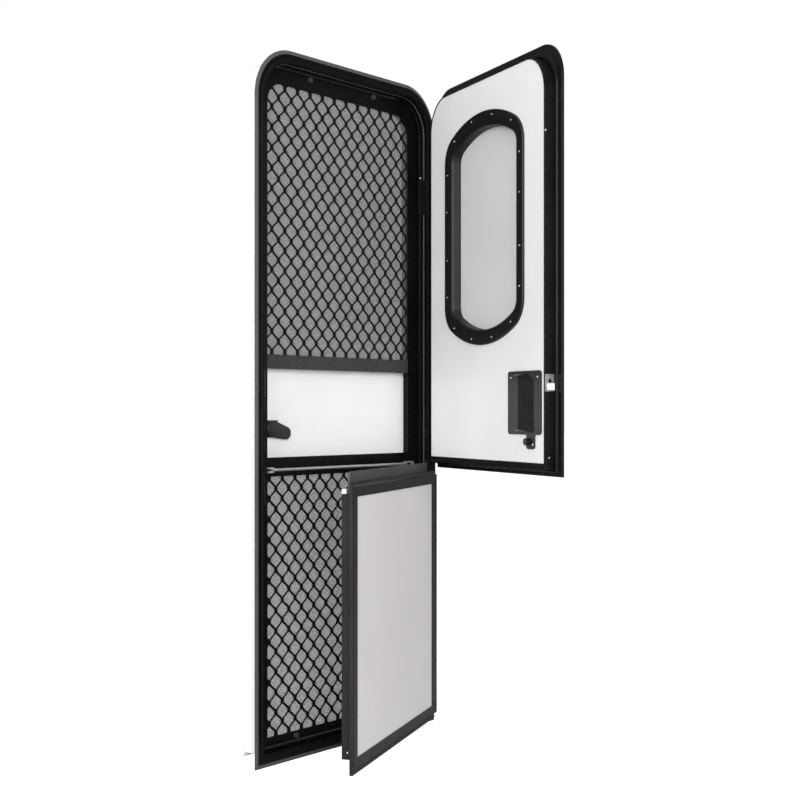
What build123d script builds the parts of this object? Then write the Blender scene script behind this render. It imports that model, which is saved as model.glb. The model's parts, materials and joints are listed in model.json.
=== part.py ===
"""Caravan entry door: a flanged frame, two outward leaves on one hinge line, and an inner screen door.

X runs to the right seen from outside, Y into the vehicle, Z up. Heights below are measured from the
frame's lower edge, and depths from the back of the frame's flange, which lies on the vehicle's wall.
"""
from build123d import *
import os

os.makedirs("parts", exist_ok=True)

# Frame: overall size and the section of its extrusion
frame_width = 660.0
frame_height = 1622.0
frame_corner = 118.0
flange_lap = 19.0
flange_width = 30.0
flange_thickness = 3.0
frame_depth = 58.0
reveal_wall = 2.4
back_lip = 2.0
cutout_clearance = 1.0
stop_setback = 25.5
stop_height = 3.0
stop_thickness = 2.0
edge_bevel_width = 9.0
edge_bevel_depth = 2.2

# Groove line in the outer face of the leaf extrusions
groove_width = 6.0
groove_depth = 1.5

# Leaves: the edge section that both share
seal_gap = 5.0
leaf_flange = 7.5
leaf_depth = 35.0
leaf_overhang = 27.0
leaf_rim = 5.0
outer_cover = 33.0
inner_cover = 35.5
channel_wall = 1.8
skin_thickness = 1.5
skin_clearance = 0.3

# Leaves: their outlines inside the frame, and how far each stands open
leaf_side_margin = 17.0
leaf_top_margin = 10.0
leaf_bottom_margin = 14.0
leaf_corner = 110.0
split_height = 650.5
split_gap = 8.6
upper_overhang_below = 15.0
upper_open = 63.0
lower_open = 20.4

# Leaf hinges: one barrel line down the right side
hinge_inset = 9.5
knuckle_radius = 5.0
pin_radius = 2.4
pin_clearance = 0.1
hinge_strip = 2.0
leaf_strip = 2.5
barrel_clearance = 0.5
flange_trim = 20.0
knuckle_gap = 0.6
end_knuckle = 72.0
hinge_end_margin = 10.0

# Upper leaf window
window_side_margin = 111.0
window_x = -6.0
window_top_margin = 105.5
window_foot_margin = 300.5
window_corner = 70.0
window_crown = 347.0
trim_band = 36.0
trim_thickness = 6.0
trim_wall = 2.6
trim_slope = 1.5
pane_thickness = 4.0
pane_depth = 8.0
pane_lap = 4.5
window_clearance = 1.0
outer_frame_band = 24.0
outer_frame_thickness = 4.0

# Upper leaf lock
lock_width = 148.0
lock_height = 142.0
lock_corner = 8.0
lock_thickness = 3.5
lock_edge_margin = 13.0
lock_rise = 92.0
lug_width = 36.0
lug_height = 32.0
lug_margin = 28.0
paddle_free_margin = 30.0
paddle_hinge_margin = 36.0
paddle_end_margin = 5.0
paddle_cut_width = 28.0
paddle_cut_height = 17.0
paddle_depth = 13.0
ridge_inset = 13.0
ridge_width = 21.0
ridge_end_inset = 6.0
ridge_cut = 5.0
snib_radius = 8.0
snib_depth = 8.0
latch_height = 38.0
latch_width = 25.0
latch_reach = 7.8
latch_plate = 1.2
latch_hole = 4.0
latch_hole_rise = 4.0
tongue_width = 16.0
tongue_height = 15.0
tongue_foot = 3.0
latch_rise = 206.0
bolt_length = 24.0
bolt_width = 11.0
bolt_height = 10.0
strike_thickness = 1.2
strike_margin = 12.0
handle_thickness = 5.0
grip_depth = 14.0
grip_width = 46.0
grip_margin = 16.0
grip_corner = 14.0
grip_taper = 12.0
scoop_radius = 15.0
key_radius = 11.0
key_depth = 3.0

# Lower leaf weather flap
flap_thickness = 4.0
flap_depth = 16.0
flap_rise = 21.0
flap_corner = 6.0

# Screen door: members, infill and depth in the frame
screen_clearance = 5.0
screen_depth = 24.0
screen_lip = 3.0
stile_width = 37.0
stile_body = 30.0
bottom_rail = 20.0
lock_rail_drop = 1.5
lock_rail = 44.0
hatch_opening = 203.0
mid_rail = 33.0
fit_gap = 0.3
strand_pitch_x = 43.3
strand_pitch_z = 46.7
lower_lattice_shift = (-8.7, -10.8)
front_strand = 6.0
back_strand = 4.6
strand_thickness = 2.2
mesh_thickness = 0.8
net_columns = 6
net_bar = 4.0
net_rim = 9.0
hatch_thickness = 4.0
bar_radius = 3.5
bar_rise = 15.3
eye_length = 44.0
eye_width = 13.0
eye_thickness = 3.0
eye_slot = 22.0
eye_slot_width = 5.0
bumper_radius = 7.0
bumper_length = 8.0
bumper_spacing_top = 232.0
bumper_spacing_low = 330.0
case_width = 14.0
case_height = 150.0
case_rise = 20.0
lever_inset = 12.0
lever_length = 44.0
lever_drop = 10.0
lever_boss = 20.0
lever_tip = 15.0
lever_depth = 6.0
lever_rise = 65.0
lever_running = 0.4

# Screen hinges on the frame's inner edge
screen_hinge_margin = 175.0
screen_hinge_length = 72.0
screen_knuckle = 4.5
screen_pin = 2.0
screen_leaf = 2.0
screen_hinge_gap = 1.0
jamb_plate_height = 90.0
jamb_plate_drop = 228.0
jamb_plate_setback = 2.0
jamb_plate_depth = 20.0
jamb_plate_thickness = 2.0

# How far every cutting shape runs past what it cuts
cut_past = 1.0

# Places that follow from the sizes above
half_frame = frame_width / 2
half_reveal = half_frame - flange_width
front_y = -flange_thickness
back_y = frame_depth - flange_thickness
hinge_x = half_frame - hinge_inset
hinge_y = front_y - hinge_strip - barrel_clearance - knuckle_radius
leaf_y = front_y - seal_gap - leaf_flange
half_leaf = half_frame - leaf_side_margin
half_core = half_leaf - leaf_overhang
leaf_trim_x = hinge_x - flange_trim
inner_skin_y = leaf_y + leaf_depth - channel_wall
outer_skin_y = leaf_y + channel_wall
upper_low = split_height + split_gap / 2
upper_high = frame_height - leaf_top_margin
lower_low = leaf_bottom_margin
lower_high = split_height - split_gap / 2
half_screen = half_reveal - screen_clearance
screen_y = front_y + stop_setback + stop_thickness + screen_clearance
lock_rail_low = split_height - lock_rail_drop
lock_rail_high = lock_rail_low + lock_rail
mid_rail_low = lock_rail_high + hatch_opening
mid_rail_high = mid_rail_low + mid_rail
screen_low = flange_width + screen_clearance
screen_high = frame_height - flange_width - screen_clearance
screen_corner = frame_corner - flange_width - screen_clearance
screen_axis_x = half_reveal + screen_hinge_gap
screen_axis_y = back_y + screen_leaf + barrel_clearance + screen_knuckle
leaf_axis = Axis((hinge_x, hinge_y, 0), (0, 0, 1))


def section(*corners):
    """A closed extrusion section: inward distance, then depth behind its outer face."""
    return make_face(Polyline(*corners, close=True))


def face_line(start):
    """The corners of a groove line in an extrusion's outer face."""
    return (start, 0), (start + groove_width / 2, groove_depth), (start + groove_width, 0)


def hoop_line(half, bottom, top, radius, y):
    """A line up one leg, over a top with round corners and down the other leg."""
    corners = [(-half, bottom), (-half, top), (half, top), (half, bottom)]
    return FilletPolyline(*[(x, y, z) for x, z in corners], radius=radius)


def bent_hoop(profile, half, bottom, top, radius, y):
    """An extrusion bent over two legs and a top."""
    start = Plane(origin=(-half, y, bottom), x_dir=(1, 0, 0), z_dir=(0, 0, 1))
    return sweep(start * profile, path=hoop_line(half, bottom, top, radius, y))


def straight_bar(profile, start, along, inward, length):
    """A straight extrusion whose section's first axis points inward."""
    return extrude(Plane(origin=start, x_dir=inward, z_dir=along) * profile, amount=length)


def prism(corners, y0, y1):
    """A flat outline in X and Z carried from one depth to another."""
    outline = make_face(Polyline(*[(x, y0, z) for x, z in corners], close=True))
    return extrude(outline, amount=y1 - y0, dir=(0, 1, 0))


def slab(sketch, x, z, y0, y1, taper=0.0):
    """A sketch centred at X and Z, carried in depth and drawn in by the taper angle."""
    face_plane = Plane(origin=(x, y0, z), x_dir=(-1, 0, 0), z_dir=(0, 1, 0))
    return extrude(face_plane * sketch, amount=y1 - y0, taper=taper)


def rod(radius, start, along, length):
    """A round bar from a start point."""
    return extrude(Plane(origin=start, z_dir=along) * Circle(radius), amount=length)


def block(x0, x1, y0, y1, z0, z1):
    """A squared block between two corners."""
    return Pos((x0 + x1) / 2, (y0 + y1) / 2, (z0 + z1) / 2) * Box(x1 - x0, y1 - y0, z1 - z0)


def arch_panel(half, bottom, top, radius, y0, y1):
    """A sheet with a straight foot and two round top corners."""
    foot = Line((half, y0, bottom), (-half, y0, bottom))
    outline = make_face(hoop_line(half, bottom, top, radius, y0).edges() + [foot])
    return extrude(outline, amount=y1 - y0, dir=(0, 1, 0))


def mitre_foot(left, right, bottom, shift, reach, y0, y1):
    """The wedge below two mitre lines that rise inward at 45 degrees from the lower corners."""
    feet = [(left + shift, bottom), (left + shift + reach, bottom + reach)]
    feet += [(right - shift - reach, bottom + reach), (right - shift, bottom)]
    return prism(feet, y0, y1)


def upper(shape):
    """An upper leaf piece, turned open about the hinge line."""
    return shape.rotate(leaf_axis, upper_open)


def lower(shape):
    """A lower leaf piece, turned open about the hinge line."""
    return shape.rotate(leaf_axis, lower_open)


def save(name, *shapes):
    """Writes one piece, or its like solids, with the origin in the middle of the sill flange's back face."""
    solids = []
    for shape in shapes:
        solids += (Pos(0, 0, -flange_lap / 2) * shape).solids()
    export_step(Compound(solids), f"parts/{name}.step")


# Frame hoop and sill: one extrusion, bent over the top and mitred at the sill
back_reach = flange_lap + cutout_clearance
frame_section = section(
    (0, edge_bevel_depth),
    (edge_bevel_width, 0),
    (flange_width, 0),
    (flange_width, stop_setback),
    (flange_width + stop_height, stop_setback),
    (flange_width + stop_height, stop_setback + stop_thickness),
    (flange_width, stop_setback + stop_thickness),
    (flange_width, frame_depth),
    (back_reach, frame_depth),
    (back_reach, frame_depth - back_lip),
    (flange_width - reveal_wall, frame_depth - back_lip),
    (flange_width - reveal_wall, flange_thickness),
    (0, flange_thickness),
)
frame_foot = mitre_foot(-half_frame, half_frame, 0, 0, flange_width + stop_height + cut_past,
                        front_y - cut_past, back_y + cut_past)
frame_bent = bent_hoop(frame_section, half_frame, 0, frame_height, frame_corner, front_y)
frame_straight = straight_bar(frame_section, (half_frame, front_y, 0), (-1, 0, 0), (0, 0, 1), frame_width)
save("frame_hoop", frame_bent - frame_foot)
save("frame_sill", frame_straight & frame_foot)

# Leaf hinges: short barrels and the pin on the frame's strip, a long barrel on each leaf's strip
upper_hinge_low = upper_low + hinge_end_margin
upper_hinge_high = upper_high - leaf_corner - hinge_end_margin
lower_hinge_low = lower_low + hinge_end_margin
lower_hinge_high = lower_high - hinge_end_margin


def barrel(radius, low, high):
    """A round length on the leaves' hinge line."""
    return rod(radius, (hinge_x, hinge_y, low), (0, 0, 1), high - low)


def leaf_hinge(low, high):
    """A leaf's strip with its long barrel, which butts against the trimmed flange."""
    barrel_low = low + end_knuckle + knuckle_gap
    barrel_high = high - end_knuckle - knuckle_gap
    strip_end = hinge_x - knuckle_radius - barrel_clearance
    strip = block(leaf_trim_x, strip_end, leaf_y, leaf_y + leaf_strip, low, high)
    strip += block(leaf_trim_x, hinge_x, leaf_y, leaf_y + leaf_strip, barrel_low, barrel_high)
    strip += barrel(knuckle_radius, barrel_low, barrel_high)
    return strip - barrel(pin_radius + pin_clearance, low, high)


strip_front = front_y - hinge_strip
frame_strip = block(leaf_trim_x, half_frame, strip_front, front_y, lower_hinge_low, upper_hinge_high)
for low, high in ((lower_hinge_low, lower_hinge_high), (upper_hinge_low, upper_hinge_high)):
    frame_strip += barrel(pin_radius, low, high)
    for foot in (low, high - end_knuckle):
        frame_strip += barrel(knuckle_radius, foot, foot + end_knuckle)
        frame_strip += block(hinge_x, hinge_x + knuckle_radius, hinge_y, front_y, foot, foot + end_knuckle)
save("frame_hinge_strip", frame_strip)
save("upper_hinge_strip", upper(leaf_hinge(upper_hinge_low, upper_hinge_high)))
save("lower_hinge_strip", lower(leaf_hinge(lower_hinge_low, lower_hinge_high)))


# Leaf edge section: a channel for the panel with a flange that laps the frame
def leaf_section(overhang):
    """The leaf's edge extrusion, for a given reach of flange past the channel."""
    outer_reach = overhang + outer_cover - leaf_overhang
    inner_reach = overhang + inner_cover - leaf_overhang
    return section(
        (0, 0),
        *face_line(leaf_rim),
        (outer_reach, 0),
        (outer_reach, channel_wall),
        (overhang + channel_wall, channel_wall),
        (overhang + channel_wall, leaf_depth - channel_wall),
        (inner_reach, leaf_depth - channel_wall),
        (inner_reach, leaf_depth),
        (overhang, leaf_depth),
        (overhang, leaf_flange),
        (0, leaf_flange),
    )


leaf_back = leaf_y + leaf_depth
hinge_side_trim = block(leaf_trim_x, half_frame, leaf_y - cut_past, leaf_y + leaf_flange, 0, frame_height)
panel_inset = channel_wall + skin_clearance
half_panel = half_core - panel_inset
outer_core_y = outer_skin_y + skin_thickness
inner_core_y = inner_skin_y - skin_thickness

# Upper leaf edge: a bent hoop over a straight bottom rail
upper_shift = leaf_overhang - upper_overhang_below
upper_foot = mitre_foot(-half_leaf, half_leaf, upper_low, upper_shift, inner_cover + cut_past,
                        leaf_y - cut_past, leaf_back + cut_past)
upper_profile = leaf_section(leaf_overhang)
upper_bent = bent_hoop(upper_profile, half_leaf, upper_low, upper_high, leaf_corner, leaf_y)
upper_straight = straight_bar(
    leaf_section(upper_overhang_below), (half_leaf, leaf_y, upper_low), (-1, 0, 0), (0, 0, 1), 2 * half_leaf
)
save("upper_edge_hoop", upper(upper_bent - upper_foot - hinge_side_trim))
save("upper_bottom_rail", upper((upper_straight & upper_foot) - hinge_side_trim))

# Upper leaf panel: two skins bonded to a foam core, cut through for the window
window_width = 2 * (half_leaf - window_side_margin)
window_height = upper_high - upper_low - window_top_margin - window_foot_margin
window_z = upper_low + window_foot_margin + window_height / 2
hole_inset = trim_band - trim_wall - window_clearance
sight_inset = trim_band + trim_slope
corner_x = window_width / 2 - window_corner
crown_z = window_height / 2 - window_crown
corner_z = crown_z + ((window_crown - window_corner) ** 2 - corner_x ** 2) ** 0.5
crown_angle = Vector(1, 0).get_angle(Vector(corner_x, corner_z - crown_z))


def window_shape(inset):
    """The window trim's outline drawn in by an inset: straight sides, round corners and crowned ends."""
    corner = window_corner - inset
    half_outline = [
        Line((corner_x + corner, -corner_z), (corner_x + corner, corner_z)),
        CenterArc((corner_x, corner_z), corner, 0, crown_angle),
        CenterArc((0, crown_z), window_crown - inset, crown_angle, 180 - 2 * crown_angle),
        CenterArc((-corner_x, corner_z), corner, 180 - crown_angle, crown_angle),
    ]
    return make_face(half_outline + [Rot(0, 0, 180) * edge for edge in half_outline])


window_hole = slab(window_shape(hole_inset), window_x, window_z, leaf_y - cut_past, leaf_back + cut_past)


def upper_sheet(y0, y1):
    """A layer of the upper leaf's panel."""
    foot = upper_low + upper_overhang_below + panel_inset
    head = upper_high - leaf_overhang - panel_inset
    corner = leaf_corner - leaf_overhang - panel_inset
    return arch_panel(half_panel, foot, head, corner, y0, y1) - window_hole


save("upper_outer_skin", upper(upper_sheet(outer_skin_y, outer_core_y)))
save("upper_core", upper(upper_sheet(outer_core_y, inner_core_y)))
save("upper_inner_skin", upper(upper_sheet(inner_core_y, inner_skin_y)))

# Window: the pane is clamped between a sloped inner trim and an outer frame
pane_front = leaf_y + pane_depth
pane_back = pane_front + pane_thickness
trim_top = inner_skin_y + trim_thickness
trim_ring = slab(window_shape(0), window_x, window_z, inner_skin_y, trim_top)
pane_plane = Plane(origin=(window_x, pane_back, window_z), x_dir=(-1, 0, 0), z_dir=(0, 1, 0))
trim_plane = pane_plane.offset(trim_top - pane_back)


def trim_slope_shape(wall):
    """The trim's slope from the pane up to its face, on the sight side or a wall's thickness behind it."""
    deep = pane_plane * window_shape(sight_inset - wall)
    shallow = trim_plane * window_shape(trim_band - wall)
    return loft([deep, shallow], ruled=True)


sleeve = trim_slope_shape(trim_wall)
funnel = trim_slope_shape(0)
save("window_inner_trim", upper(trim_ring + sleeve - funnel))
pane = slab(window_shape(sight_inset - pane_lap), window_x, window_z, pane_front, pane_back)
save("window_pane", upper(pane))
outer_outline = window_shape(sight_inset - outer_frame_band)
outer_face = outer_skin_y - outer_frame_thickness
outer_ring = slab(outer_outline, window_x, window_z, outer_face, outer_skin_y)
outer_sleeve = slab(window_shape(sight_inset - trim_wall), window_x, window_z, outer_face, pane_front)
outer_sight = slab(window_shape(sight_inset), window_x, window_z, outer_face, pane_front)
save("window_outer_frame", upper(outer_ring + outer_sleeve - outer_sight))

# Upper leaf lock: plate with a lug, sloped paddle and snib inside
lock_free_x = -half_core + lock_edge_margin
lock_hinge_x = lock_free_x + lock_width
lock_low = upper_low + lock_rise
lock_high = lock_low + lock_height
lock_x = (lock_free_x + lock_hinge_x) / 2
lock_z = (lock_low + lock_high) / 2
lock_face = inner_skin_y + lock_thickness
lug_x = lock_free_x + lug_margin + lug_width / 2
lug_z = lock_low - lug_height / 2
lock_outline = RectangleRounded(lock_width, lock_height, lock_corner)
lug_outline = RectangleRounded(lug_width, lug_height + 2 * lock_corner, lock_corner)
lock_plate = slab(lock_outline, lock_x, lock_z, inner_skin_y, lock_face)
lock_plate += slab(lug_outline, lug_x, lug_z + lock_corner, inner_skin_y, lock_face)
save("lock_plate", upper(lock_plate))


def paddle_layer(x0, x1, z0, z1, cut_width, cut_height, y):
    """A level of the paddle: a rectangle whose upper corner on the free side is cut off."""
    corners = [(x0, z0), (x1, z0), (x1, z1), (x0 + cut_width, z1), (x0, z1 - cut_height)]
    return make_face(Polyline(*[(x, y, z) for x, z in corners], close=True))


paddle_x0 = lock_free_x + paddle_free_margin
paddle_x1 = lock_hinge_x - paddle_hinge_margin
paddle_z0 = lock_low + paddle_end_margin
paddle_z1 = lock_high - paddle_end_margin
ridge_x1 = paddle_x1 - ridge_inset
ridge_x0 = ridge_x1 - ridge_width
ridge_z0 = paddle_z0 + ridge_end_inset
ridge_z1 = paddle_z1 - ridge_end_inset
paddle_face = lock_face + paddle_depth
paddle_foot = paddle_layer(
    paddle_x0, paddle_x1, paddle_z0, paddle_z1, paddle_cut_width, paddle_cut_height, lock_face
)
paddle_ridge = paddle_layer(ridge_x0, ridge_x1, ridge_z0, ridge_z1, ridge_cut, ridge_cut, paddle_face)
save("lock_paddle", upper(loft([paddle_foot, paddle_ridge], ruled=True)))
snib_x = lug_x + lug_width / 2 - snib_radius
save("lock_snib", upper(rod(snib_radius, (snib_x, lock_face, lug_z), (0, 1, 0), snib_depth)))

# Edge latch: a drilled plate on the free edge with a bevelled tongue
latch_z = upper_low + latch_rise
latch_low = latch_z - latch_height / 2
latch_mid = leaf_y + (leaf_flange + leaf_depth) / 2
latch_face = -half_core - latch_plate
latch_y0 = latch_mid - latch_width / 2
latch_y1 = latch_mid + latch_width / 2
latch_base = block(latch_face, -half_core, latch_y0, latch_y1, latch_low, latch_low + latch_height)
latch_base -= rod(latch_hole, (-half_core, latch_mid, latch_z + latch_hole_rise), (-1, 0, 0), latch_plate)
tongue_z = latch_low + tongue_foot
tongue = make_face(Polyline(
    (latch_face, latch_mid - tongue_width / 2, tongue_z),
    (latch_face, latch_mid + tongue_width / 2, tongue_z),
    (-half_core - latch_reach, latch_mid - tongue_width / 2, tongue_z),
    close=True,
))
save("edge_latch", upper(latch_base + extrude(tongue, amount=tongue_height, dir=(0, 0, 1))))

# Outside handle: a plate with a tapered pull, scooped for the fingers, and a key barrel
handle_face = outer_skin_y - handle_thickness
grip_plane = Plane(origin=(lock_x, handle_face, lock_z), x_dir=(1, 0, 0), z_dir=(0, -1, 0))
grip_outline = RectangleRounded(grip_width, lock_height - 2 * grip_margin, grip_corner)
grip = extrude(grip_plane * grip_outline, amount=grip_depth, taper=grip_taper)
grip -= rod(scoop_radius, (lock_x + grip_width / 2, handle_face, lock_low), (0, 0, 1), lock_height)
outside_handle = slab(lock_outline, lock_x, lock_z, handle_face, outer_skin_y) + grip
key_x = lock_free_x + lug_margin
outside_handle += rod(key_radius, (key_x, handle_face, lock_low + grip_margin), (0, -1, 0), key_depth)
save("outside_handle", upper(outside_handle))

# Lower leaf: four mitred rails round a panel
lower_mid = (lower_low + lower_high) / 2
lower_tall = lower_high - lower_low
lower_profile = leaf_section(leaf_overhang)
lower_foot = mitre_foot(-half_leaf, half_leaf, lower_low, 0, inner_cover + cut_past,
                        leaf_y - cut_past, leaf_back + cut_past)
lower_head = mirror(lower_foot, about=Plane.XY.offset(lower_mid))
bottom_bar = straight_bar(lower_profile, (half_leaf, leaf_y, lower_low), (-1, 0, 0), (0, 0, 1), 2 * half_leaf)
top_bar = straight_bar(lower_profile, (-half_leaf, leaf_y, lower_high), (1, 0, 0), (0, 0, -1), 2 * half_leaf)
free_bar = straight_bar(lower_profile, (-half_leaf, leaf_y, lower_low), (0, 0, 1), (1, 0, 0), lower_tall)
hinge_bar = straight_bar(lower_profile, (half_leaf, leaf_y, lower_high), (0, 0, -1), (-1, 0, 0), lower_tall)
save("lower_bottom_rail", lower((bottom_bar & lower_foot) - hinge_side_trim))
save("lower_top_rail", lower((top_bar & lower_head) - hinge_side_trim))
save("lower_free_stile", lower(free_bar - lower_foot - lower_head))
save("lower_hinge_stile", lower(hinge_bar - lower_foot - lower_head - hinge_side_trim))


def lower_sheet(y0, y1):
    """A layer of the lower leaf's panel."""
    foot = lower_low + leaf_overhang + panel_inset
    head = lower_high - leaf_overhang - panel_inset
    return block(-half_panel, half_panel, y0, y1, foot, head)


save("lower_outer_skin", lower(lower_sheet(outer_skin_y, outer_core_y)))
save("lower_core", lower(lower_sheet(outer_core_y, inner_core_y)))
save("lower_inner_skin", lower(lower_sheet(inner_core_y, inner_skin_y)))

# Weather flap on the lower leaf's top edge, and the bolt on its free edge
flap_foot = lower_high - leaf_overhang
flap_top = lower_high + flap_rise
flap_y = leaf_y + flap_depth
flap = arch_panel(half_core, flap_foot, flap_top, flap_corner, flap_y, flap_y + flap_thickness)
save("weather_flap", lower(flap))
bolt_y = leaf_back - bolt_width
bolt_top = flap_foot + bolt_height
lower_bolt = block(-half_core, -half_core + bolt_length, bolt_y, leaf_back, flap_foot, bolt_top)
save("lower_bolt", lower(lower_bolt))

# Strikes on the left jamb, and the riveted plate on the right jamb
strikes = []
half_strike = latch_height / 2 + strike_margin
for height in (latch_z, flap_foot):
    strikes.append(block(
        -half_reveal, -half_reveal + strike_thickness,
        latch_mid - tongue_width / 2, latch_mid + tongue_width / 2,
        height - half_strike, height + half_strike,
    ))
save("strike_plates", *strikes)
jamb_plate_top = frame_height - jamb_plate_drop
save("jamb_plate", block(
    half_reveal - jamb_plate_thickness, half_reveal,
    front_y + jamb_plate_setback, front_y + jamb_plate_setback + jamb_plate_depth,
    jamb_plate_top - jamb_plate_height, jamb_plate_top,
))

# Screen door: bent stiles and top, straight bottom rail, mid rail and lock rail
def screen_section(width):
    """A screen member: a body behind a lip that covers the infill's edge."""
    body = width - stile_width + stile_body
    return section(
        (0, 0),
        (width, 0),
        (width, screen_lip),
        (body, screen_lip),
        (body, screen_depth),
        (0, screen_depth),
    )


body_half = half_screen - stile_body
sight_half = half_screen - stile_width
screen_back = screen_y + screen_depth
stile_section = screen_section(stile_width)
screen_bent = bent_hoop(stile_section, half_screen, screen_low, screen_high, screen_corner, screen_y)
screen_foot = block(-half_screen, half_screen, screen_y, screen_back, screen_low, screen_low + bottom_rail)
save("screen_hoop", screen_bent - screen_foot)
bottom_body = bottom_rail - stile_width + stile_body
rail_start = (half_screen, screen_y, screen_low)
screen_rail = straight_bar(screen_section(bottom_rail), rail_start, (-1, 0, 0), (0, 0, 1), 2 * half_screen)
save("screen_bottom_rail", screen_rail)
lip_cover = stile_width - stile_body


def cross_rail(low, high):
    """A rail between the stiles, with lips above and below."""
    face = block(-sight_half, sight_half, screen_y, screen_y + screen_lip, low, high)
    body_low = low + lip_cover
    body_high = high - lip_cover
    return face + block(-body_half, body_half, screen_y + screen_lip, screen_back, body_low, body_high)


save("screen_mid_rail", cross_rail(mid_rail_low, mid_rail_high))
save("screen_lock_rail", cross_rail(lock_rail_low, lock_rail_high))

# Diamond grilles: flat strands one way lie on strands the other way and are joined where they cross
infill_half = body_half - fit_gap
infill_y = screen_y + screen_lip
infill_plane = Plane(origin=(0, infill_y, 0), x_dir=(1, 0, 0), z_dir=(0, -1, 0))


def strands(infill, node, tall, width, slope):
    """Parallel strands across the infill, sloping up to the right or to the left."""
    angle = slope * Vector(strand_pitch_x, 0).get_angle(Vector(strand_pitch_x, strand_pitch_z))
    reach = 2 * infill_half + tall
    lean = tall * strand_pitch_x / strand_pitch_z
    count = int((infill_half + strand_pitch_x + lean / 2) / strand_pitch_x) + 1
    bars = Sketch()
    for index in range(-count, count + 1):
        bars += Pos(*node) * Pos(index * strand_pitch_x) * Rot(0, 0, angle) * Rectangle(2 * reach, width)
    return infill & bars


def grille(infill, low, high, shift_x, shift_z):
    """Two layers of strands, cut to the infill's outline; the shift moves a crossing off its middle."""
    node = (shift_x, (low + high) / 2 + shift_z)
    falling = infill_plane * strands(infill, node, high - low, front_strand, -1)
    rising = infill_plane * strands(infill, node, high - low, back_strand, 1)
    front = extrude(falling, amount=-strand_thickness)
    joined = front + Pos(0, strand_thickness, 0) * extrude(rising, amount=-strand_thickness)
    return max(joined.solids(), key=lambda solid: solid.volume)


def infill_outline(low, high, corner):
    """An infill's outline in X and Z, with round top corners where the screen is arched."""
    if corner == 0:
        return Pos(0, (low + high) / 2) * Rectangle(2 * infill_half, high - low)
    corners = [(-infill_half, low), (-infill_half, high), (infill_half, high), (infill_half, low)]
    sides = FilletPolyline(*corners, radius=corner)
    return make_face(sides.edges() + [Line(corners[3], corners[0])])


upper_infill = (mid_rail_high - lip_cover + fit_gap, screen_high - stile_body - fit_gap)
lower_infill = (screen_low + bottom_body + fit_gap, lock_rail_low + lip_cover - fit_gap)
infill_corner = screen_corner - stile_body - fit_gap
upper_outline = infill_outline(*upper_infill, infill_corner)
lower_outline = infill_outline(*lower_infill, 0)
save("upper_grille", grille(upper_outline, *upper_infill, 0, 0))
save("lower_grille", grille(lower_outline, *lower_infill, *lower_lattice_shift))

# Insect mesh behind each grille, and the plain hatch panel between the cross rails
mesh_y = 2 * strand_thickness + fit_gap


def insect_mesh(infill, low, high):
    """The fine mesh as a coarse net: crossed bars inside a rim."""
    pitch_x = 2 * infill_half / net_columns
    rows = round((high - low) / pitch_x)
    pitch_z = (high - low) / rows
    holes = Sketch()
    for place in GridLocations(pitch_x, pitch_z, net_columns, rows):
        holes += Pos(0, (low + high) / 2) * place * Rectangle(pitch_x - net_bar, pitch_z - net_bar)
    net = infill - (offset(infill, -net_rim) & holes)
    return Pos(0, mesh_y, 0) * extrude(infill_plane * net, amount=-mesh_thickness)


save("upper_insect_mesh", insect_mesh(upper_outline, *upper_infill))
save("lower_insect_mesh", insect_mesh(lower_outline, *lower_infill))
hatch_low = lock_rail_high - lip_cover + fit_gap
hatch_high = mid_rail_low + lip_cover - fit_gap
hatch_y = screen_back - hatch_thickness
save("screen_hatch", block(-infill_half, infill_half, hatch_y, screen_back, hatch_low, hatch_high))

# Push bar with flattened, drilled ends, and rubber bumpers on the top and bottom rails
bar_z = lock_rail_low + bar_rise
bar_half = sight_half - eye_slot / 2
push_bar = rod(bar_radius, (-bar_half, screen_y - bar_radius, bar_z), (1, 0, 0), 2 * bar_half)
for side in (-1, 1):
    eye_x = side * sight_half
    push_bar += slab(SlotOverall(eye_length, eye_width), eye_x, bar_z, screen_y - eye_thickness, screen_y)
    push_bar -= slab(SlotOverall(eye_slot, eye_slot_width), eye_x, bar_z, screen_y - eye_thickness, screen_y)
save("push_bar", push_bar)
bumpers = []
bumper_inset = flange_width + stop_height + screen_clearance + bumper_radius
bumper_rows = ((bumper_spacing_top, frame_height - bumper_inset), (bumper_spacing_low, bumper_inset))
for spacing, height in bumper_rows:
    for x in (-spacing / 2, spacing / 2):
        bumpers.append(rod(bumper_radius, (x, screen_y, height), (0, -1, 0), bumper_length))
save("screen_bumpers", *bumpers)

# Screen lock: a case along the left stile and the lever that turns on it
case_low = lock_rail_high + case_rise
case_x = -body_half + case_width
case_front = hatch_y - screen_lip
lever_x = -sight_half + lever_inset + lever_boss
lever_z = lock_rail_high + lever_rise
lock_case = block(-body_half, case_x, case_front, hatch_y, case_low, case_low + case_height)
boss_low = lever_z - lever_boss
boss_high = lever_z + lever_boss
lock_case += block(-body_half, lever_x + lever_boss, case_front, hatch_y, boss_low, boss_high)
save("screen_lock_case", lock_case)
lever_arm = make_hull([
    *Circle(lever_boss).edges(),
    *(Pos(lever_length, -lever_drop) * Circle(lever_tip)).edges(),
])
lever_plane = Plane(origin=(lever_x, case_front - lever_running, lever_z), x_dir=(1, 0, 0), z_dir=(0, -1, 0))
save("screen_lever", extrude(lever_plane * lever_arm, amount=lever_depth))

# Screen hinges: a barrel with the pin on each frame leaf, a barrel that turns on it on each door leaf
frame_leaves = []
door_leaves = []
lowest_hinge = screen_low + screen_hinge_margin
highest_hinge = screen_high - screen_hinge_margin


def screen_barrel(radius, low, high):
    """A round length on the screen's hinge line."""
    return rod(radius, (screen_axis_x, screen_axis_y, low), (0, 0, 1), high - low)


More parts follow.
